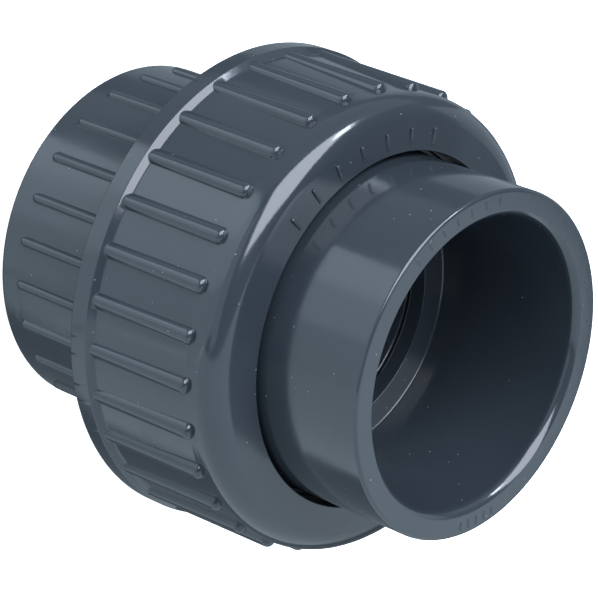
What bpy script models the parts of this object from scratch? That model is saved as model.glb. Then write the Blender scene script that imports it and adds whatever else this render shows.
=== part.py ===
"""Pipe union for a 50 mm pipe socket and a 1 1/2 inch female thread.

Four pieces: the threaded body (lower half), the union nut, the union end (upper half with the
smooth socket) and the O-ring that seals the two halves. The pipe axis is Z, and the fitting stands
on the face of its female thread at z = 0, with the smooth socket opening upwards. An angle about
the axis is counted from +X towards +Y. Metres.
"""

import math

import bmesh
import bpy
from mathutils import Matrix, Vector

# Overall
HEIGHT = 0.0824
CIRCLE_STEPS = 48
RIB_SIDES = 10
RIB_END_ROUND = 0.6  # share of the rib's radius
GAP = 0.0005  # between the two halves' meeting faces
WATERWAY_RADIUS = 0.0202
MERGE_DISTANCE = 0.00001
SHARP_ANGLE = math.radians(35)

# Union end: smooth socket with a flange that the nut pulls on
SOCKET_OUTER_RADIUS = 0.0300
SOCKET_MOUTH_RADIUS = 0.0252
SOCKET_ROOT_RADIUS = 0.0250
SOCKET_DEPTH = 0.0296
SOCKET_EDGE_ROUND = 0.00065
SOCKET_LEAD_IN = 0.0012
SEAL_FACE_Z = 0.0494
FLANGE_TOP_Z = 0.0554
FLANGE_RADIUS = 0.0347
SMALL_CHAMFER = 0.0004

# Union nut
NUT_BOTTOM_Z = 0.0298
NUT_RIM_TOP_Z = 0.0334
NUT_STEP_FOOT_Z = 0.0345
NUT_WALL_Z = 0.0558  # under side of the nut's top wall
NUT_CREASE_Z = 0.0613
NUT_TOP_Z = 0.0619
NUT_RIM_RADIUS = 0.0420
NUT_STEP_FOOT_RADIUS = 0.0409  # the barrel narrows from here towards its top
NUT_BARREL_RADIUS = 0.0400
NUT_CREASE_RADIUS = 0.0360
NUT_HOLE_RADIUS = 0.0310
NUT_SHOULDER_ROUND = 0.0040
NUT_CHAMFER = 0.0002
NUT_THREAD_CHAMFER = 0.0008
NUT_RIB_COUNT = 30
NUT_RIB_PHASE = math.radians(4)
NUT_RIB_RADII = (0.0018, 0.0015)  # at its lower and upper ends
NUT_RIB_AXIS_RADIUS = 0.0398
NUT_RIB_TOP_Z = 0.0556

# Threaded body
BODY_RADIUS = 0.03105
BODY_EDGE_ROUND = 0.0008
BODY_NECK_Z = 0.0287
BODY_SHOULDER_Z = 0.0307
BODY_TOP_Z = SEAL_FACE_Z - GAP
BODY_RIB_COUNT = 25
BODY_RIB_PHASE = math.radians(30.07)
BODY_RIB_RADII = (0.0009, 0.0009)
BODY_RIB_AXIS_RADIUS = 0.03095
BODY_RIB_BOTTOM_Z = 0.0046

# Thread between the body and the nut: right-handed, trapezoid section
THREAD_PITCH = 0.0040
THREAD_HALF_CREST = 0.0006
THREAD_FLANK_SLOPE = 0.3  # axial run of a flank for each unit of height
THREAD_BURIED = 0.0008
THREAD_ZERO_Z = 0.0333  # middle of the body's ridge where it crosses +X
BODY_THREAD_ROOT = 0.0349
BODY_THREAD_CREST = 0.0366
BODY_THREAD_TURNS = (0.1, 3.35)
NUT_THREAD_ROOT = 0.03705
NUT_THREAD_CREST = 0.0353
NUT_THREAD_TURNS = (-0.65, 2.6)

# Female pipe thread in the body's lower mouth: 11 threads an inch, 55 degree flanks
PIPE_PITCH = 0.0254 / 11
PIPE_MAJOR_RADIUS = 0.0239
PIPE_MINOR_RADIUS = 0.02242
PIPE_MOUTH_RADIUS = 0.0244
PIPE_RELIEF_RADIUS = 0.0243
PIPE_THREAD_END_Z = 0.0222
PIPE_STOP_Z = 0.0247
PIPE_THREAD_TURNS = (-0.9, 10.1)
PIPE_THREAD_STEPS = 24
PIPE_CUTTER_INSIDE = 0.0005  # how far the groove's cutter reaches into the bore
PIPE_CUTTER_HALF_WIDTH = 0.0011
PIPE_CUTTER_HALF_FLAT = 0.00012

# O-ring in a groove in the body's top face
RING_RADIUS = 0.0285
RING_SECTION_RADIUS = 0.0016
RING_PROUD = 0.0002
RING_SECTION_SIDES = 10
GROOVE_SIDE_GAP = 0.0003

# Finishes
GREY = (0.036, 0.050, 0.068, 1.0)
GREY_ROUGHNESS = 0.15
BLACK = (0.012, 0.012, 0.013, 1.0)
BLACK_ROUGHNESS = 0.6


def clear_scene():
    for old in list(bpy.data.objects):
        bpy.data.objects.remove(old, do_unlink=True)


def new_collection(name):
    made = bpy.data.collections.new(name)
    bpy.context.scene.collection.children.link(made)
    return made


def plastic(name, colour, roughness):
    made = bpy.data.materials.new(name)
    made.use_nodes = True
    shader = made.node_tree.nodes["Principled BSDF"]
    shader.inputs["Base Color"].default_value = colour
    shader.inputs["Roughness"].default_value = roughness
    shader.inputs["Metallic"].default_value = 0.0
    return made


def new_object(name, mesh, collection):
    made = bpy.data.objects.new(name, mesh)
    collection.objects.link(made)
    return made


def arc(centre_r, centre_z, radius, start, end, segments):
    """Points (r, z) of an arc. The angle is 0 towards +r and 90 degrees towards +Z."""
    points = []
    for i in range(segments + 1):
        angle = math.radians(start + (end - start) * i / segments)
        points.append((centre_r + radius * math.cos(angle), centre_z + radius * math.sin(angle)))
    return points


def turned(name, outline, collection):
    """A closed outline of (r, z) points, its outer side running down, turned about Z."""
    mesh = bpy.data.meshes.new(name)
    count = len(outline)
    corners = [(r, 0.0, z) for r, z in outline]
    edges = [(i, (i + 1) % count) for i in range(count)]
    mesh.from_pydata(corners, edges, [])
    made = new_object(name, mesh, collection)
    screw = made.modifiers.new("Turn", "SCREW")
    screw.axis = "Z"
    screw.steps = CIRCLE_STEPS
    screw.render_steps = CIRCLE_STEPS
    screw.use_merge_vertices = True
    screw.merge_threshold = MERGE_DISTANCE
    return made


def helix(name, section, pitch, zero_z, turns, steps, collection):
    """A closed section of (r, z) points swept along a right-handed helix about Z.

    turns holds the first and last turn, counted from where the helix crosses +X at zero_z.
    """
    shape = bmesh.new()
    rise = Matrix.Translation((0, 0, zero_z + pitch * turns[0]))
    start = Matrix.Rotation(math.tau * turns[0], 4, "Z") @ rise
    corners = [shape.verts.new(start @ Vector((r, 0, z))) for r, z in section]
    face = shape.faces.new(corners)
    count = round((turns[1] - turns[0]) * steps)
    bmesh.ops.spin(
        shape,
        geom=list(shape.verts) + list(shape.edges) + [face],
        cent=(0, 0, 0),
        axis=(0, 0, 1),
        dvec=(0, 0, pitch / steps),
        angle=math.tau * count / steps,
        steps=count,
    )
    bmesh.ops.recalc_face_normals(shape, faces=shape.faces)
    mesh = bpy.data.meshes.new(name)
    shape.to_mesh(mesh)
    shape.free()
    return new_object(name, mesh, collection)


def rib_set(name, count, phase, radii, axis_radius, bottom_z, top_z, rounded_end, collection):
    """Round bars along Z, evenly spaced about it, each rounded at its "top" or "bottom" end."""
    shape = bmesh.new()
    middle_z = (bottom_z + top_z) / 2
    for i in range(count):
        turn = Matrix.Rotation(phase + math.tau * i / count, 4, "Z")
        made = bmesh.ops.create_cone(
            shape,
            cap_ends=True,
            segments=RIB_SIDES,
            radius1=radii[0],
            radius2=radii[1],
            depth=top_z - bottom_z,
            matrix=turn @ Matrix.Translation((axis_radius, 0, middle_z)),
        )
        rounded = set()
        for vert in made["verts"]:
            if (vert.co.z > middle_z) == (rounded_end == "top"):
                rounded.update(edge for edge in vert.link_edges if is_level(edge))
        bmesh.ops.bevel(
            shape,
            geom=list(rounded),
            offset=min(radii) * RIB_END_ROUND,
            offset_type="OFFSET",
            segments=2,
            profile=0.5,
            affect="EDGES",
        )
    mesh = bpy.data.meshes.new(name)
    shape.to_mesh(mesh)
    shape.free()
    return new_object(name, mesh, collection)


def is_level(edge):
    return abs(edge.verts[0].co.z - edge.verts[1].co.z) < MERGE_DISTANCE


def combine(target, other, operation):
    """Adds a Boolean modifier, and keeps the other object as a hidden helper."""
    step = target.modifiers.new(other.name, "BOOLEAN")
    step.operation = operation
    step.solver = "EXACT"
    step.object = other
    other.hide_render = True
    other.display_type = "WIRE"


def finish(target, material):
    """Applies the modifiers, then shades the round faces smooth and the real edges sharp."""
    graph = bpy.context.evaluated_depsgraph_get()
    mesh = bpy.data.meshes.new_from_object(target.evaluated_get(graph))
    target.modifiers.clear()
    target.data = mesh
    mesh.name = target.name
    mesh.shade_smooth()
    mesh.set_sharp_from_angle(angle=SHARP_ANGLE)
    mesh.materials.clear()
    mesh.materials.append(material)


def make_union_end(parts):
    stop_z = HEIGHT - SOCKET_DEPTH
    lead = SOCKET_LEAD_IN
    edge = SOCKET_EDGE_ROUND
    chamfer = SMALL_CHAMFER
    outline = [(SOCKET_MOUTH_RADIUS + lead, HEIGHT)]
    outline += arc(SOCKET_OUTER_RADIUS - edge, HEIGHT - edge, edge, 90, 0, 3)
    outline += [
        (SOCKET_OUTER_RADIUS, FLANGE_TOP_Z + chamfer),
        (SOCKET_OUTER_RADIUS + chamfer, FLANGE_TOP_Z),
        (FLANGE_RADIUS - chamfer, FLANGE_TOP_Z),
        (FLANGE_RADIUS, FLANGE_TOP_Z - chamfer),
        (FLANGE_RADIUS, SEAL_FACE_Z + chamfer),
        (FLANGE_RADIUS - chamfer, SEAL_FACE_Z),
        (WATERWAY_RADIUS + chamfer, SEAL_FACE_Z),
        (WATERWAY_RADIUS, SEAL_FACE_Z + chamfer),
        (WATERWAY_RADIUS, stop_z),
        (SOCKET_ROOT_RADIUS - chamfer, stop_z),
        (SOCKET_ROOT_RADIUS, stop_z + chamfer),
        (SOCKET_MOUTH_RADIUS, HEIGHT - lead),
    ]
    return turned("union_end", outline, parts)


def thread_ridge(root, crest):
    """Section of the coupling thread, its foot buried in the wall that carries it."""
    height = abs(crest - root) + THREAD_BURIED
    foot = root - math.copysign(THREAD_BURIED, crest - root)
    half_foot = THREAD_HALF_CREST + THREAD_FLANK_SLOPE * height
    return [
        (foot, -half_foot),
        (crest, -THREAD_HALF_CREST),
        (crest, THREAD_HALF_CREST),
        (foot, half_foot),
    ]


def make_union_nut(parts, helpers):
    chamfer = NUT_CHAMFER
    entry = NUT_THREAD_CHAMFER
    outline = [
        (NUT_HOLE_RADIUS, NUT_TOP_Z - chamfer),
        (NUT_HOLE_RADIUS + chamfer, NUT_TOP_Z),
    ]
    outline += arc(
        NUT_CREASE_RADIUS, NUT_CREASE_Z - NUT_SHOULDER_ROUND, NUT_SHOULDER_ROUND, 90, 0, 6
    )
    outline += [
        (NUT_STEP_FOOT_RADIUS, NUT_STEP_FOOT_Z),
        (NUT_RIM_RADIUS, NUT_RIM_TOP_Z),
        (NUT_RIM_RADIUS, NUT_BOTTOM_Z + chamfer),
        (NUT_RIM_RADIUS - chamfer, NUT_BOTTOM_Z),
        (NUT_THREAD_ROOT + entry, NUT_BOTTOM_Z),
        (NUT_THREAD_ROOT, NUT_BOTTOM_Z + entry),
        (NUT_THREAD_ROOT, NUT_WALL_Z),
        (NUT_HOLE_RADIUS, NUT_WALL_Z),
    ]
    nut = turned("union_nut", outline, parts)
    ribs = rib_set(
        "nut_ribs",
        NUT_RIB_COUNT,
        NUT_RIB_PHASE,
        NUT_RIB_RADII,
        NUT_RIB_AXIS_RADIUS,
        (NUT_BOTTOM_Z + NUT_RIM_TOP_Z) / 2,
        NUT_RIB_TOP_Z,
        "top",
        helpers,
    )
    combine(nut, ribs, "UNION")
    ridge = helix(
        "nut_thread",
        thread_ridge(NUT_THREAD_ROOT, NUT_THREAD_CREST),
        THREAD_PITCH,
        THREAD_ZERO_Z + THREAD_PITCH / 2,
        NUT_THREAD_TURNS,
        CIRCLE_STEPS,
        helpers,
    )
    combine(nut, ridge, "UNION")
    return nut


def body_outline():
    """The body's turned outline, without its ribs and threads."""
    chamfer = SMALL_CHAMFER
    edge = BODY_EDGE_ROUND
    groove_outside = RING_RADIUS + RING_SECTION_RADIUS + GROOVE_SIDE_GAP
    groove_inside = RING_RADIUS - RING_SECTION_RADIUS - GROOVE_SIDE_GAP
    groove_floor_z = BODY_TOP_Z + RING_PROUD - 2 * RING_SECTION_RADIUS - GROOVE_SIDE_GAP
    lead_in = PIPE_MOUTH_RADIUS - PIPE_MINOR_RADIUS
    outline = [
        (groove_outside, BODY_TOP_Z),
        (BODY_THREAD_ROOT - chamfer, BODY_TOP_Z),
        (BODY_THREAD_ROOT, BODY_TOP_Z - chamfer),
        (BODY_THREAD_ROOT, BODY_SHOULDER_Z),
        (BODY_RADIUS, BODY_NECK_Z),
    ]
    outline += arc(BODY_RADIUS - edge, edge, edge, 0, -90, 3)
    outline += [
        (PIPE_MOUTH_RADIUS, 0.0),
        (PIPE_MINOR_RADIUS, lead_in),
        (PIPE_MINOR_RADIUS, PIPE_THREAD_END_Z),
        (PIPE_RELIEF_RADIUS, PIPE_THREAD_END_Z),
        (PIPE_RELIEF_RADIUS, PIPE_STOP_Z),
        (WATERWAY_RADIUS, PIPE_STOP_Z),
        (WATERWAY_RADIUS, BODY_TOP_Z - chamfer),
        (WATERWAY_RADIUS + chamfer, BODY_TOP_Z),
        (groove_inside, BODY_TOP_Z),
        (groove_inside, groove_floor_z),
        (groove_outside, groove_floor_z),
    ]
    return outline


def make_threaded_body(parts, helpers):
    body = turned("threaded_body", body_outline(), parts)
    ribs = rib_set(
        "body_ribs",
        BODY_RIB_COUNT,
        BODY_RIB_PHASE,
        BODY_RIB_RADII,
        BODY_RIB_AXIS_RADIUS,
        BODY_RIB_BOTTOM_Z,
        (BODY_NECK_Z + BODY_SHOULDER_Z) / 2,
        "bottom",
        helpers,
    )
    combine(body, ribs, "UNION")
    ridge = helix(
        "body_thread",
        thread_ridge(BODY_THREAD_ROOT, BODY_THREAD_CREST),
        THREAD_PITCH,
        THREAD_ZERO_Z,
        BODY_THREAD_TURNS,
        CIRCLE_STEPS,
        helpers,
    )
    combine(body, ridge, "UNION")
    groove = helix(
        "pipe_thread_groove",
        [
            (PIPE_MINOR_RADIUS - PIPE_CUTTER_INSIDE, -PIPE_CUTTER_HALF_WIDTH),
            (PIPE_MAJOR_RADIUS, -PIPE_CUTTER_HALF_FLAT),
            (PIPE_MAJOR_RADIUS, PIPE_CUTTER_HALF_FLAT),
            (PIPE_MINOR_RADIUS - PIPE_CUTTER_INSIDE, PIPE_CUTTER_HALF_WIDTH),
        ],
        PIPE_PITCH,
        0.0,
        PIPE_THREAD_TURNS,
        PIPE_THREAD_STEPS,
        helpers,
    )
    combine(body, groove, "DIFFERENCE")
    return body


def make_seal_ring(parts):
    centre_z = BODY_TOP_Z + RING_PROUD - RING_SECTION_RADIUS
    circle = arc(RING_RADIUS, centre_z, RING_SECTION_RADIUS, 90, -270, RING_SECTION_SIDES)
    return turned("seal_ring", circle[:-1], parts)


def main():
    clear_scene()
    parts = new_collection("union_fitting")
    helpers = new_collection("helpers")
    grey = plastic("grey_plastic", GREY, GREY_ROUGHNESS)
    black = plastic("seal_rubber", BLACK, BLACK_ROUGHNESS)
    finish(make_union_end(parts), grey)
    finish(make_union_nut(parts, helpers), grey)
    finish(make_threaded_body(parts, helpers), grey)
    finish(make_seal_ring(parts), black)


main()
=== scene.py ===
"""Looks of the pipe union: the moulded shapes, the plastics, the light and the camera.

Every piece but the raised bars is one closed skin around the pipe axis, Z. A skin is made of
strips: rows of points that run round the axis, and helical strips for the threads. All the strips
of a piece share the same angles round the axis, so that their edges meet. Rows go down on the
outside of a piece and up on its inside. Metres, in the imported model's frame.
"""

import math
from collections import namedtuple

import bmesh
import bpy
from mathutils import Matrix, Vector


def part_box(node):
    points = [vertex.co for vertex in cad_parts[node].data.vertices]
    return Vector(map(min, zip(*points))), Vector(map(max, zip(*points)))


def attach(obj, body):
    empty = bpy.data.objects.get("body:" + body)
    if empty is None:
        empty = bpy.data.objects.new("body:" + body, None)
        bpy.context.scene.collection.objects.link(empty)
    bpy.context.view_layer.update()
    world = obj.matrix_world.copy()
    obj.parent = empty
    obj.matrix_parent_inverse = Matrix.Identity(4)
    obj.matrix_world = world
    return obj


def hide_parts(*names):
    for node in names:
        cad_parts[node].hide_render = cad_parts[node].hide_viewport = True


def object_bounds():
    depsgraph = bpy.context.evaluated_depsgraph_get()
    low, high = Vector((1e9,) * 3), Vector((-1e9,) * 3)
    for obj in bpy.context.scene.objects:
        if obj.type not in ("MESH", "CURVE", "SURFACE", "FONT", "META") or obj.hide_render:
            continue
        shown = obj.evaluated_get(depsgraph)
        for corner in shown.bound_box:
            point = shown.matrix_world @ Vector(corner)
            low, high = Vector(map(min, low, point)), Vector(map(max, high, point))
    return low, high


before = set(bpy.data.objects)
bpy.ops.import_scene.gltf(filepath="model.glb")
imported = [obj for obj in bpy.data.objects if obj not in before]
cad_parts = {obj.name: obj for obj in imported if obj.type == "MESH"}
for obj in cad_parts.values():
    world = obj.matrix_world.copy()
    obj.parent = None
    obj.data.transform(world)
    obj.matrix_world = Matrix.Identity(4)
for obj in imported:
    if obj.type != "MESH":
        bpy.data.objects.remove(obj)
cad_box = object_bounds()

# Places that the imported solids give
END_FOOT, END_TOP = (corner.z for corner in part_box("union_end"))
NUT_FOOT, NUT_TOP = (corner.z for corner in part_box("union_nut"))
BODY_FOOT, BODY_TOP = (corner.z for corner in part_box("threaded_body"))
RING_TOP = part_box("seal_ring")[1].z
FLANGE_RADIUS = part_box("union_end")[1].x
RIM_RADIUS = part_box("union_nut")[1].x

# Making
# Steps of a rounding's arc, and of one no larger than SMALL_ROUND
ARC_STEP = math.radians(14)
SMALL_ARC_STEP = math.radians(22.5)
MERGE_DISTANCE = 2e-7
SHARP_ANGLE = math.radians(38)
END_COLUMNS = 288
RING_COLUMNS = 240
WATERWAY_RADIUS = 0.0202

# Union end
SOCKET_OUTER = 0.0300
SOCKET_MOUTH = 0.0252
SOCKET_ROOT = 0.0250
SOCKET_STOP = END_TOP - 0.0296
SOCKET_LEAD_IN = (0.0011, 0.00064)
SOCKET_LEAD_ROUND = 0.0021
SOCKET_EDGE = 0.0006
FLANGE_TOP = END_FOOT + 0.0060
SMALL_ROUND = 0.0004

# Union nut
NUT_BARREL = 0.0400
NUT_CREASE = 0.0360
NUT_CREASE_Z = NUT_TOP - 0.0006
NUT_HOLE = 0.0310
NUT_SHOULDER = 0.0040
NUT_WALL = NUT_TOP - 0.0061
NUT_STEP_RADIUS = 0.0409
NUT_STEP = NUT_FOOT + 0.0047
NUT_RIM_TOP = NUT_FOOT + 0.0036
NUT_RIM_ROUND = 0.00025
NUT_STEP_FILLET = 0.00015
NUT_ENTRY = 0.0008
NUT_THREAD_END = NUT_WALL - 0.004
NUT_RIB_TOP = NUT_FOOT + 0.0258
NUT_RIB_NOSE = 0.0011

# Threaded body
BODY_TUBE = 0.03105
BODY_EDGE = 0.0008
BODY_NECK = BODY_FOOT + 0.0287
BODY_SHOULDER = BODY_FOOT + 0.0307
BODY_NECK_FILLET = 0.0004
BODY_NECK_TOP = 0.001  # from the neck's upper edge inwards, to its first row
BODY_THREAD_START = BODY_SHOULDER + 0.0009
BODY_RIB_FOOT = BODY_FOOT + 0.0046
BODY_RIB_NOSE = 0.0012

# Ribs on a tube. sunk is how deep a rib's axis lies under the tube's surface
Ribs = namedtuple("Ribs", "tube count phase radius sunk fillet steps gap_steps")
NUT_RIBS = Ribs(NUT_BARREL, 30, math.radians(4), 0.0015, 0.0002, 0.0001, 6, 4)
NUT_RIB_FEET = NUT_RIBS._replace(tube=NUT_STEP_RADIUS, radius=0.0018, sunk=0.0011)
BODY_RIBS = Ribs(BODY_TUBE, 25, math.radians(30.07), 0.0009, 0.0001, 0.0001, 4, 3)
RIB_GAP_START = 0.3  # of a gap step, from the rib's foot to the first column
RIB_NOSE_POWER = 2.6
RIB_NOSE_STEPS = 7
FILLET_DEGREES = (0, 30, 60, 90)

# Plain raised bars: angle of the first and last in degrees, and their count
NUT_MARKS = (40, -20, 7)
END_MARKS = (34, -8, 7)
END_LOW_MARKS = (188, 172, 5)
# Their length, width and height
NUT_BAR = (0.0030, 0.0006, 0.0003)
END_BAR = (0.0016, 0.0004, 0.00012)

# Coupling thread
THREAD_PITCH = 0.0040
THREAD_HALF_CREST = 0.0006
THREAD_HALF_FOOT = 0.0011
THREAD_ZERO = BODY_FOOT + 0.0333
THREAD_FADE = 0.12
THREAD_EASE = 0.0001
BODY_THREAD_ROOT = 0.0349
BODY_THREAD_CREST = 0.0366
BODY_THREAD_TURNS = (0.1, 3.35)
NUT_THREAD_ROOT = 0.03705
NUT_THREAD_CREST = 0.0353
NUT_THREAD_TURNS = (-0.65, 2.6)

# Female pipe thread: 11 threads an inch
PIPE_PITCH = 0.0254 / 11
PIPE_HALF_CREST = 0.0003
PIPE_HALF_FOOT = 0.00103
PIPE_EASE = 0.00008
PIPE_MAJOR = 0.0239
PIPE_MINOR = 0.02242
PIPE_MOUTH = 0.0244
PIPE_RELIEF = 0.0243
PIPE_THREAD_END = BODY_FOOT + 0.0222
PIPE_STOP = BODY_FOOT + 0.0247
PIPE_THREAD_TURNS = (-2.0, 9.0)
PIPE_FADE = 0.25

# O-ring and its groove
RING_RADIUS = 0.0285
RING_SECTION = 0.0016
RING_PROUD = 0.0002
RING_FLASH = 0.00008
GROOVE_GAP = 0.0003
RING_ARC_STEP = 10  # degrees

# Finishes
GREY = (0.023, 0.029, 0.036)
BLACK = (0.012, 0.012, 0.013)
PLASTIC_IOR = 1.54
# Share that the colour drifts by, roughness, its change, depth of the orange peel
GLOSSY = (0.05, 0.14, 0.02, 0.000006)
SEMI_GLOSSY = (0.05, 0.17, 0.03, 0.000010)
MATT = (0.25, 0.55, 0.08, 0.00002)
# Dust: its scale, the specks' size and their colour
PVC_DUST = (336, 0.037, (0.20, 0.22, 0.24))
RUBBER_DUST = (600, 0.05, (0.12, 0.12, 0.12))
# Unevenness of a moulded surface: scale and detail of its noise
MELT = (55, 2)
GRAIN = (1400, 3)
SMEAR = (150, 3)
ORANGE_PEEL = (900, 2)
MELT_SHARE = 0.65
# Where in the noise the darkest and lightest colour, and the highest and lowest gloss, are
MOTTLE_ENDS = (0.38, 0.62)
SMEAR_ENDS = (0.35, 0.65)
SPECK_ROUGHNESS = 0.4
SPECK_HEIGHT = 2.0

# Studio
MIDDLE = Vector((0, 0, END_TOP / 2))
CAMERA_PLACE = (0.2045, 0.3346, 0.3591)
CAMERA_AIM = (-0.4058, -0.6632, -0.6289)
CAMERA_UP = (1, 0, 0)
CAMERA_LENS = 177.2
LIGHT_DISTANCE = 1.4
# Name, degrees to the right of the camera and above it, width and height in degrees, radiance
LIGHTS = (
    ("key", 31, 27, 54, 46, 7.6),
    ("spark", 62, 39, 8, 12, 22.0),
    ("left_top", -72, 41, 64, 20, 1.65),
    ("left_middle", -72, 21, 64, 20, 1.4),
    ("left_low", -72, -2, 64, 26, 0.95),
    ("left_front", -26, 5, 28, 60, 0.7),
    ("table", 2, -82, 152, 98, 1.05),
    ("right_back", 125, 10, 40, 34, 0.5),
    ("top_back", 175, 32, 46, 34, 0.25),
    ("top", 0, 85, 110, 60, 0.3),
)
COOL = (0.83, 1.0, 1.14)
KEY_COLOUR = (0.94, 1.0, 1.13)
FLOOR_SIZE = 20
FLOOR_COLOUR = (0.8, 0.8, 0.8)
FLOOR_CLEARANCE = 0.0001
FLOOR_GLOW = 0.85
AMBIENT = 0.2


def at(radius, angle, z):
    """The point at an angle about the axis, counted from +X towards +Y."""
    return Vector((radius * math.cos(angle), radius * math.sin(angle), z))


def rounded(corners):
    """Points (r, z) through corners (r, z) or (r, z, rounding), with an arc at each rounding."""
    points = []
    for i, corner in enumerate(corners):
        here = Vector(corner[:2])
        if len(corner) == 2:
            points.append(here)
            continue
        back = (Vector(corners[i - 1][:2]) - here).normalized()
        ahead = (Vector(corners[i + 1][:2]) - here).normalized()
        half = back.angle(ahead) / 2
        turn = math.pi - 2 * half
        centre = here + (back + ahead).normalized() * corner[2] / math.sin(half)
        start = here + back * corner[2] / math.tan(half) - centre
        side = math.copysign(1, back.x * ahead.y - back.y * ahead.x)
        step = ARC_STEP if corner[2] > SMALL_ROUND else SMALL_ARC_STEP
        steps = max(2, math.ceil(turn / step - MERGE_DISTANCE))
        for k in range(steps + 1):
            points.append(centre + Matrix.Rotation(-side * turn * k / steps, 2) @ start)
    return points


def turned(corners, angles):
    """A strip of rows round the axis, one for each point of the rounded outline."""
    return [[at(r, angle, z) for angle in angles] for r, z in rounded(corners)]


def rib_section(ribs, size):
    """Across one rib and the gap beside it: (distance round the tube, height above it)."""
    radius = max(ribs.radius * size, ribs.sunk)
    reach = math.sqrt((radius + ribs.fillet) ** 2 - (ribs.fillet + ribs.sunk) ** 2)
    lean = math.atan2(reach, ribs.fillet + ribs.sunk)
    half = []
    for k in range(ribs.steps + 1):
        a = lean * k / ribs.steps
        half.append((radius * math.sin(a), radius * math.cos(a) - ribs.sunk))
    for a in (lean / 2, 0):
        half.append((reach - ribs.fillet * math.sin(a), ribs.fillet * (1 - math.cos(a))))
    half_gap = math.pi * ribs.tube / ribs.count - reach
    for k in range(ribs.gap_steps):
        half.append((reach + half_gap * (k + RIB_GAP_START) / ribs.gap_steps, 0.0))
    return [(-s, height) for s, height in reversed(half[1:])] + half


def rib_angles(ribs):
    """The angles of a ribbed piece's columns, which every strip of the piece shares."""
    middles = [ribs.phase + math.tau * i / ribs.count for i in range(ribs.count)]
    return [middle + s / ribs.tube for middle in middles for s, _ in rib_section(ribs, 1)]


def rib_row(ribs, z_at, size=1.0, lift=0.0):
    """A row round the ribbed tube: z_at(radius) is its height, lift moves it off the surface."""
    section = rib_section(ribs, size)
    row = []
    for i in range(ribs.count):
        middle = ribs.phase + math.tau * i / ribs.count
        for s, height in section:
            radius = ribs.tube + height + lift
            row.append(at(radius, middle + s / ribs.tube, z_at(radius)))
    return row


def rib_nose(ribs, tip, length):
    """Rows from a rib's full section to its tip. A negative length points the tip downwards."""
    rows = []
    for k in range(RIB_NOSE_STEPS + 1):
        turn = math.pi / 2 * k / RIB_NOSE_STEPS
        size = math.cos(turn) ** (2 / RIB_NOSE_POWER) if k < RIB_NOSE_STEPS else 0.0
        z = tip - length * (1 - math.sin(turn) ** (2 / RIB_NOSE_POWER))
        rows.append(rib_row(ribs, lambda radius, z=z: z, size))
    return rows


def rib_fillet(ribs, wall_z, fillet, side):
    """Rows from the ribbed tube on to the wall that ends it, which faces up (1) or down (-1)."""
    rows = []
    for degrees in FILLET_DEGREES:
        a = math.radians(degrees)
        off = side * fillet * (1 - math.sin(a))
        lift = fillet * (1 - math.cos(a))
        rows.append(rib_row(ribs, lambda radius, off=off: wall_z(radius) + off, 1.0, lift))
    return rows


def smooth_step(value):
    """Eases from 0 to 1 while the value goes from 0 to 1."""
    value = min(max(value, 0.0), 1.0)
    return value * value * (3 - 2 * value)


def ridge(half_crest, half_foot, pitch, ease):
    """Across one pitch, upwards: (offset along the axis, share of the height), edges eased."""
    slope = 1 / (half_foot - half_crest)
    half = [
        (0.0, 1.0),
        (half_crest - ease, 1.0),
        (half_crest + ease, 1 - ease * slope),
        (half_foot - ease, ease * slope),
        (half_foot + ease, 0.0),
        (pitch / 2, 0.0),
    ]
    return [(-offset, share) for offset, share in reversed(half[1:])] + half


def thread(section, pitch, zero, turns, fade, zone, angles, radius_at):
    """A helical strip one pitch wide that fills the zone (low z, high z).

    The ridge fades in and out at its first and last turn. radius_at(z, share) gives the surface.
    """
    low, high = zone
    whole = range(math.floor((low - zero) / pitch) - 1, math.ceil((high - zero) / pitch) + 2)
    track = [turn + angle / math.tau for turn in whole for angle in angles]
    rows = []
    for offset, share in section:
        row = []
        for turn in track:
            z = min(max(zero + pitch * turn + offset, low), high)
            grown = smooth_step((turn - turns[0]) / fade) * smooth_step((turns[1] - turn) / fade)
            row.append(at(radius_at(z, share * grown), math.tau * turn, z))
        rows.append(row)
    return rows


def smooth_piece(name, mesh, finish):
    """The mesh as an object with smooth shading, in the scene. The mesh is freed."""
    made = bpy.data.meshes.new(name)
    mesh.to_mesh(made)
    mesh.free()
    made.shade_smooth()
    made.materials.append(finish)
    piece = bpy.data.objects.new(name, made)
    bpy.context.scene.collection.objects.link(piece)
    return piece


def skin(name, rings, helices, finish):
    """One closed mesh from strips of rows. Rings close round the axis, and helices don't."""
    mesh = bmesh.new()
    for strip in rings + helices:
        rows = [[mesh.verts.new(point) for point in row] for row in strip]
        count = len(rows[0])
        last = count - 1 if strip in helices else count
        for above, below in zip(rows, rows[1:]):
            for j in range(last):
                k = (j + 1) % count
                mesh.faces.new((above[j], below[j], below[k], above[k]))
    bmesh.ops.remove_doubles(mesh, verts=mesh.verts, dist=MERGE_DISTANCE)
    bmesh.ops.dissolve_degenerate(mesh, edges=mesh.edges, dist=MERGE_DISTANCE)
    piece = smooth_piece(name, mesh, finish)
    piece.data.set_sharp_from_angle(angle=SHARP_ANGLE)
    weighted = piece.modifiers.new("Flats stay flat", "WEIGHTED_NORMAL")
    weighted.keep_sharp = True
    return piece


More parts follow.
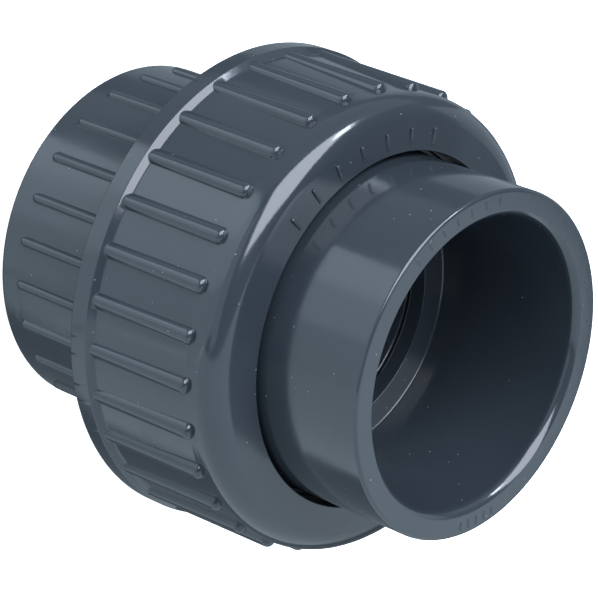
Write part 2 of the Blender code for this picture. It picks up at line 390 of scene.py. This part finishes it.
def union_end(finish):
    """The half with the smooth socket, and the flange that the nut pulls on."""
    angles = [math.tau * i / END_COLUMNS for i in range(END_COLUMNS)]
    middle = ((SOCKET_OUTER + SOCKET_MOUTH) / 2, END_TOP)
    outline = [
        middle,
        (SOCKET_OUTER, END_TOP, SOCKET_EDGE),
        (SOCKET_OUTER, FLANGE_TOP, SMALL_ROUND),
        (FLANGE_RADIUS, FLANGE_TOP, SMALL_ROUND),
        (FLANGE_RADIUS, END_FOOT, SMALL_ROUND),
        (WATERWAY_RADIUS, END_FOOT, SMALL_ROUND),
        (WATERWAY_RADIUS, SOCKET_STOP, SMALL_ROUND / 4),
        (SOCKET_ROOT, SOCKET_STOP, SMALL_ROUND),
        (SOCKET_MOUTH, END_TOP - SOCKET_LEAD_IN[1], SOCKET_LEAD_ROUND),
        (SOCKET_MOUTH + SOCKET_LEAD_IN[0], END_TOP, SMALL_ROUND / 4),
        middle,
    ]
    return skin("socket_end", [turned(outline, angles)], [], finish)


def union_nut(finish):
    """The nut, with its grip ribs, rim, inner wall and female coupling thread."""
    angles = rib_angles(NUT_RIBS)
    hole_middle = (NUT_HOLE, (NUT_TOP + NUT_WALL) / 2)
    zone = (NUT_FOOT + NUT_ENTRY, NUT_THREAD_END)

    def step_z(radius):
        share = (radius - NUT_STEP_RADIUS) / (RIM_RADIUS - NUT_STEP_RADIUS)
        return NUT_STEP + (NUT_RIM_TOP - NUT_STEP) * share

    nose = [
        hole_middle,
        (NUT_HOLE, NUT_TOP, SMALL_ROUND / 2),
        (NUT_CREASE, NUT_CREASE_Z, SMALL_ROUND / 2),
        (NUT_BARREL, NUT_CREASE_Z, NUT_SHOULDER),
        (NUT_BARREL, NUT_RIB_TOP + SMALL_ROUND),
    ]
    outside = turned(nose, angles)
    outside += rib_nose(NUT_RIBS, NUT_RIB_TOP, NUT_RIB_NOSE)[::-1]
    outside += rib_fillet(NUT_RIB_FEET, step_z, NUT_STEP_FILLET, 1)
    rim_edge = RIM_RADIUS - NUT_RIM_ROUND / 2
    rim = [
        (rim_edge, step_z(rim_edge)),
        (RIM_RADIUS, NUT_RIM_TOP, NUT_RIM_ROUND),
        (RIM_RADIUS, NUT_FOOT, NUT_RIM_ROUND),
        (NUT_THREAD_ROOT + NUT_ENTRY, NUT_FOOT, SMALL_ROUND / 2),
        (NUT_THREAD_ROOT, zone[0]),
    ]
    outside += turned(rim, angles)
    inside = [
        (NUT_THREAD_ROOT, zone[1]),
        (NUT_THREAD_ROOT, NUT_WALL, SMALL_ROUND),
        (NUT_HOLE, NUT_WALL, SMALL_ROUND),
        hole_middle,
    ]
    grooves = thread(
        ridge(THREAD_HALF_CREST, THREAD_HALF_FOOT, THREAD_PITCH, THREAD_EASE),
        THREAD_PITCH,
        THREAD_ZERO + THREAD_PITCH / 2,
        NUT_THREAD_TURNS,
        THREAD_FADE,
        zone,
        angles,
        lambda z, share: NUT_THREAD_ROOT + (NUT_THREAD_CREST - NUT_THREAD_ROOT) * share,
    )
    return skin("coupling_nut", [outside, turned(inside, angles)], [grooves], finish)


def threaded_body(finish):
    """The half with the male coupling thread, the O-ring's groove and the pipe thread."""
    angles = rib_angles(BODY_RIBS)
    groove_in = RING_RADIUS - RING_SECTION - GROOVE_GAP
    groove_out = RING_RADIUS + RING_SECTION + GROOVE_GAP
    groove_floor = BODY_TOP + RING_PROUD - 2 * RING_SECTION - GROOVE_GAP
    face = ((groove_out + BODY_THREAD_ROOT) / 2, BODY_TOP)
    zone = (BODY_THREAD_START, BODY_TOP - 2 * SMALL_ROUND)
    mouth_z = BODY_FOOT + PIPE_MOUTH
    pipe_zone = (mouth_z - PIPE_MAJOR, PIPE_THREAD_END)

    def neck_z(radius):
        share = (radius - BODY_TUBE) / (BODY_THREAD_ROOT - BODY_TUBE)
        return BODY_NECK + (BODY_SHOULDER - BODY_NECK) * share

    top = [
        face,
        (BODY_THREAD_ROOT, BODY_TOP, SMALL_ROUND),
        (BODY_THREAD_ROOT, zone[1]),
    ]
    neck_edge = BODY_THREAD_ROOT - BODY_NECK_TOP
    neck = [
        (BODY_THREAD_ROOT, zone[0]),
        (BODY_THREAD_ROOT, BODY_SHOULDER, SMALL_ROUND),
        (neck_edge, neck_z(neck_edge)),
    ]
    outside = turned(neck, angles)
    outside += rib_fillet(BODY_RIBS, neck_z, BODY_NECK_FILLET, -1)[::-1]
    outside += rib_nose(BODY_RIBS, BODY_RIB_FOOT, -BODY_RIB_NOSE)
    tube = [
        (BODY_TUBE, BODY_RIB_FOOT - SMALL_ROUND),
        (BODY_TUBE, BODY_FOOT, BODY_EDGE),
        (PIPE_MOUTH, BODY_FOOT, SMALL_ROUND / 4),
        (PIPE_MAJOR, pipe_zone[0]),
    ]
    outside += turned(tube, angles)
    inside = [
        (PIPE_MAJOR, pipe_zone[1]),
        (PIPE_RELIEF, PIPE_THREAD_END + SMALL_ROUND),
        (PIPE_RELIEF, PIPE_STOP, SMALL_ROUND),
        (WATERWAY_RADIUS, PIPE_STOP, SMALL_ROUND),
        (WATERWAY_RADIUS, BODY_TOP, SMALL_ROUND),
        (groove_in, BODY_TOP, SMALL_ROUND / 2),
        (groove_in, groove_floor),
        (groove_out, groove_floor),
        (groove_out, BODY_TOP, SMALL_ROUND / 2),
        face,
    ]
    coupling = thread(
        ridge(THREAD_HALF_CREST, THREAD_HALF_FOOT, THREAD_PITCH, THREAD_EASE)[::-1],
        THREAD_PITCH,
        THREAD_ZERO,
        BODY_THREAD_TURNS,
        THREAD_FADE,
        zone,
        angles,
        lambda z, share: BODY_THREAD_ROOT + (BODY_THREAD_CREST - BODY_THREAD_ROOT) * share,
    )
    pipe = thread(
        ridge(PIPE_HALF_CREST, PIPE_HALF_FOOT, PIPE_PITCH, PIPE_EASE),
        PIPE_PITCH,
        BODY_FOOT + PIPE_PITCH / 2,
        PIPE_THREAD_TURNS,
        PIPE_FADE,
        pipe_zone,
        angles,
        lambda z, share: max(PIPE_MAJOR + (PIPE_MINOR - PIPE_MAJOR) * share, mouth_z - z),
    )
    rings = [turned(top, angles), outside, turned(inside, angles)]
    return skin("ribbed_half", rings, [coupling, pipe], finish)


def seal_ring(finish):
    """The O-ring, with the thin flash that its mould leaves inside and outside."""
    angles = [math.tau * i / RING_COLUMNS for i in range(RING_COLUMNS)]
    centre_z = RING_TOP - RING_SECTION
    outline = []
    for degrees in range(90, 90 - 360 - RING_ARC_STEP, -RING_ARC_STEP):
        a = math.radians(degrees)
        section = RING_SECTION + (RING_FLASH if degrees % 180 == 0 else 0.0)
        outline.append((RING_RADIUS + section * math.cos(a), centre_z + section * math.sin(a)))
    return skin("o_ring", [turned(outline, angles)], [], finish)


def raised_bars(name, middles, size, finish):
    """Plain raised bars, each lying towards the axis, as (radius, angle, z) of its middle says."""
    length, width, height = size
    mesh = bmesh.new()
    for radius, angle, z in middles:
        stand = Matrix.Translation(at(radius, angle, z)) @ Matrix.Rotation(angle, 4, "Z")
        made = bmesh.ops.create_cube(
            mesh, size=1, matrix=stand @ Matrix.Diagonal((length, width, 2 * height, 1))
        )
        edges = {edge for vert in made["verts"] for edge in vert.link_edges}
        bmesh.ops.bevel(
            mesh, geom=list(edges), offset=width / 3, segments=3, profile=0.5, affect="EDGES"
        )
    return smooth_piece(name, mesh, finish)


def nut_marks(finish):
    """Bars on the nut's front cone, where the real one has moulded words."""
    radius = (NUT_HOLE + NUT_CREASE) / 2
    z = (NUT_TOP + NUT_CREASE_Z) / 2
    middles = [(radius, angle, z) for angle in spread(NUT_MARKS)]
    return raised_bars("nut_marks", middles, NUT_BAR, finish)


def end_marks(finish):
    """Bars on the socket's end face, where the real one names its size."""
    radius = (SOCKET_OUTER + SOCKET_MOUTH + SOCKET_LEAD_IN[0]) / 2
    angles = spread(END_MARKS) + spread(END_LOW_MARKS)
    middles = [(radius, angle, END_TOP) for angle in angles]
    return raised_bars("end_marks", middles, END_BAR, finish)


def spread(marks):
    """Angles spread evenly from the first to the last."""
    first, last, count = marks
    return [math.radians(first + (last - first) * i / (count - 1)) for i in range(count)]


def node(tree, kind, **inputs):
    """A new node. Each input is a value, or another node's output to link."""
    made = tree.nodes.new("ShaderNode" + kind)
    for name, value in inputs.items():
        socket = made.inputs[name]
        if isinstance(value, bpy.types.NodeSocket):
            tree.links.new(value, socket)
        else:
            socket.default_value = value
    return made


def noise(tree, place, kind):
    """A noise from 0 to 1, of the given scale and detail."""
    scale, detail = kind
    return node(tree, "TexNoise", Vector=place, Scale=scale, Detail=detail).outputs["Fac"]


def ramp(tree, value, ends, results):
    """Takes a value to a colour or number: results[0] up to ends[0], results[1] from ends[1]."""
    made = node(tree, "ValToRGB", Fac=value)
    for element, end, result in zip(made.color_ramp.elements, ends, results):
        element.position = end
        element.color = (*result, 1) if isinstance(result, tuple) else (result,) * 3 + (1,)
    return made.outputs["Color"]


def math_node(tree, operation, first, second):
    """The result of an operation on two values or sockets."""
    made = tree.nodes.new("ShaderNodeMath")
    made.operation = operation
    for socket, value in zip(made.inputs, (first, second)):
        if isinstance(value, bpy.types.NodeSocket):
            tree.links.new(value, socket)
        else:
            socket.default_value = value
    return made.outputs["Value"]


def dust(tree, place, scale, size):
    """Specks, as 1 on a speck and 0 elsewhere."""
    cells = node(tree, "TexVoronoi", Vector=place, Scale=scale)
    return math_node(tree, "LESS_THAN", cells.outputs["Distance"], size)


def moulded(name, colour, finish, specks):
    """A moulded material. The melt's colour drifts, its gloss is uneven, and dust lies on it."""
    drift, roughness, polish, peel = finish
    speck_scale, speck_size, speck_colour = specks
    material = bpy.data.materials.new(name)
    material.use_nodes = True
    tree = material.node_tree
    shader = tree.nodes["Principled BSDF"]
    shader.inputs["IOR"].default_value = PLASTIC_IOR
    place = node(tree, "TexCoord").outputs["Object"]
    speck = dust(tree, place, speck_scale, speck_size)

    melt = math_node(tree, "MULTIPLY", noise(tree, place, MELT), MELT_SHARE)
    grain = math_node(tree, "MULTIPLY", noise(tree, place, GRAIN), 1 - MELT_SHARE)
    mottle = math_node(tree, "ADD", melt, grain)
    dark = tuple(channel * (1 - drift) for channel in colour)
    light = tuple(channel * (1 + drift) for channel in colour)
    tone = ramp(tree, mottle, MOTTLE_ENDS, (dark, light))
    dusty = tree.nodes.new("ShaderNodeMix")
    dusty.data_type = "RGBA"
    tree.links.new(speck, dusty.inputs["Factor"])
    tree.links.new(tone, dusty.inputs["A"])
    dusty.inputs["B"].default_value = (*speck_colour, 1)
    tree.links.new(dusty.outputs["Result"], shader.inputs["Base Color"])

    smear = noise(tree, place, SMEAR)
    gloss = ramp(tree, smear, SMEAR_ENDS, (roughness - polish, roughness + polish))
    dull = math_node(tree, "MULTIPLY", speck, SPECK_ROUGHNESS)
    gloss = math_node(tree, "ADD", gloss, dull)
    tree.links.new(gloss, shader.inputs["Roughness"])

    raised = math_node(tree, "MULTIPLY", speck, SPECK_HEIGHT)
    height = math_node(tree, "ADD", noise(tree, place, ORANGE_PEEL), raised)
    bump = node(tree, "Bump", Height=height, Distance=peel, Strength=1.0)
    tree.links.new(bump.outputs["Normal"], shader.inputs["Normal"])
    return material


def place(piece, body, node, slot):
    """Ties a piece to its body and hides the node that it replaces. The slot is not used."""
    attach(piece, body)
    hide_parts(node)


def camera():
    """The camera, and its axes: to the right, up and back towards it."""
    aim = Vector(CAMERA_AIM).normalized()
    across = aim.cross(Vector(CAMERA_UP)).normalized()
    axes = Matrix((across, across.cross(aim), -aim)).transposed()
    data = bpy.data.cameras.new("camera")
    data.lens = CAMERA_LENS
    made = bpy.data.objects.new("camera", data)
    made.matrix_world = Matrix.Translation(Vector(CAMERA_PLACE)) @ axes.to_4x4()
    bpy.context.scene.collection.objects.link(made)
    bpy.context.scene.camera = made
    return axes


def softbox(name, axes, right, up, width, height, radiance):
    """A soft light turned to the object. Its place and size are angles in degrees as the object
    sees them, counted from the camera to the right and up. White paper in the sun is 1."""
    right = math.radians(right)
    up = math.radians(up)
    way = Vector((math.cos(up) * math.sin(right), math.sin(up), math.cos(up) * math.cos(right)))
    side = Vector((math.cos(right), 0, -math.sin(right)))
    stand = axes @ Matrix((side, way.cross(side), way)).transposed()
    data = bpy.data.lights.new(name, "AREA")
    data.shape = "RECTANGLE"
    data.size = 2 * LIGHT_DISTANCE * math.tan(math.radians(width) / 2)
    data.size_y = 2 * LIGHT_DISTANCE * math.tan(math.radians(height) / 2)
    data.energy = radiance * math.pi * data.size * data.size_y
    data.color = KEY_COLOUR if name == "key" else COOL
    made = bpy.data.objects.new(name, data)
    made.matrix_world = Matrix.Translation(MIDDLE + LIGHT_DISTANCE * (axes @ way)) @ stand.to_4x4()
    made.visible_camera = False
    bpy.context.scene.collection.objects.link(made)


def studio(axes):
    """The lights, the pale floor and the air."""
    for name, *placing in LIGHTS:
        softbox(name, axes, *placing)
    floor_mesh = bpy.data.meshes.new("floor")
    grid = bmesh.new()
    bmesh.ops.create_grid(grid, x_segments=1, y_segments=1, size=FLOOR_SIZE / 2)
    grid.to_mesh(floor_mesh)
    grid.free()
    paper = bpy.data.materials.new("floor_paper")
    paper.use_nodes = True
    shader = paper.node_tree.nodes["Principled BSDF"]
    shader.inputs["Base Color"].default_value = (*FLOOR_COLOUR, 1)
    shader.inputs["Roughness"].default_value = 1.0
    shader.inputs["Specular IOR Level"].default_value = 0.0
    shader.inputs["Emission Color"].default_value = (1, 1, 1, 1)
    shader.inputs["Emission Strength"].default_value = FLOOR_GLOW
    floor_mesh.materials.append(paper)
    floor = bpy.data.objects.new("floor", floor_mesh)
    floor.location.z = cad_box[0].z - FLOOR_CLEARANCE
    floor.visible_diffuse = False
    floor.visible_glossy = False
    floor.visible_shadow = False
    bpy.context.scene.collection.objects.link(floor)

    world = bpy.data.worlds.new("studio")
    world.use_nodes = True
    tree = world.node_tree
    air = tree.nodes["Background"]
    air.inputs["Color"].default_value = (*COOL, 1)
    air.inputs["Strength"].default_value = AMBIENT
    backdrop = tree.nodes.new("ShaderNodeBackground")
    backdrop.inputs["Color"].default_value = (1, 1, 1, 1)
    seen = tree.nodes.new("ShaderNodeMixShader")
    tree.links.new(node(tree, "LightPath").outputs["Is Camera Ray"], seen.inputs["Fac"])
    tree.links.new(air.outputs["Background"], seen.inputs[1])
    tree.links.new(backdrop.outputs["Background"], seen.inputs[2])
    tree.links.new(seen.outputs["Shader"], tree.nodes["World Output"].inputs["Surface"])
    bpy.context.scene.world = world
    bpy.context.scene.view_settings.view_transform = "Standard"


def main():
    nut_grey = moulded("nut_pvc", GREY, GLOSSY, PVC_DUST)
    end_grey = moulded("end_pvc", GREY, GLOSSY, PVC_DUST)
    body_grey = moulded("body_pvc", GREY, SEMI_GLOSSY, PVC_DUST)
    rubber = moulded("seal_rubber", BLACK, MATT, RUBBER_DUST)
    place(union_end(end_grey), "end", "union_end", "end_plastic")
    place(union_nut(nut_grey), "nut", "union_nut", "nut_plastic")
    place(threaded_body(body_grey), "body", "threaded_body", "body_plastic")
    place(seal_ring(rubber), "body", "seal_ring", "seal_rubber")
    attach(nut_marks(nut_grey), "nut")
    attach(end_marks(end_grey), "end")
    studio(camera())


main()
